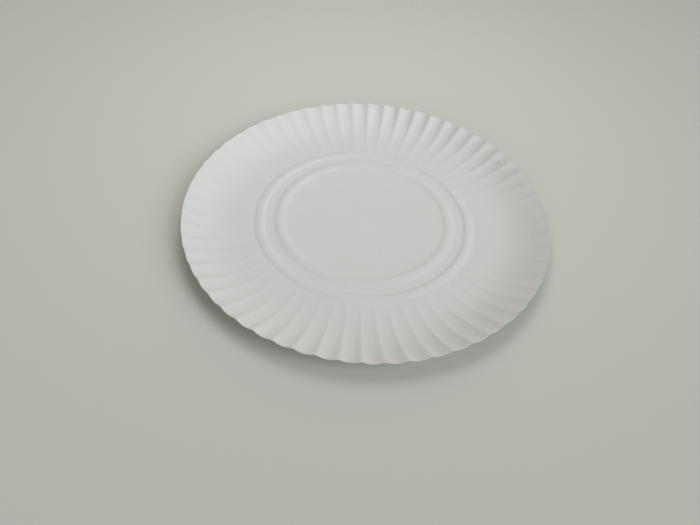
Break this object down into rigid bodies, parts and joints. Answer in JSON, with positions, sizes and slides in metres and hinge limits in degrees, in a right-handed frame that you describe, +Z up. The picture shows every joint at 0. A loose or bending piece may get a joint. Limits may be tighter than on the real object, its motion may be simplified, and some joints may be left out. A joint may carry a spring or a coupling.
{
  "type": "paper plate",
  "caption": "Shallow round plate pressed from one sheet of white paperboard, with two raised rings in its flat floor and a fluted sloping rim.",
  "frame": {"origin": "middle of the underside, where the floor meets the table", "axes": "+Z up along the plate's axis, out of its food side; +X and +Y through the middle of a flute's trough"},
  "size_m": [0.23, 0.23, 0.0117],
  "materials": {
    "paperboard": "matt uncoated white paperboard"
  },
  "bodies": {
    "root": {"plate": "paperboard"}
  },
  "joints": []
}
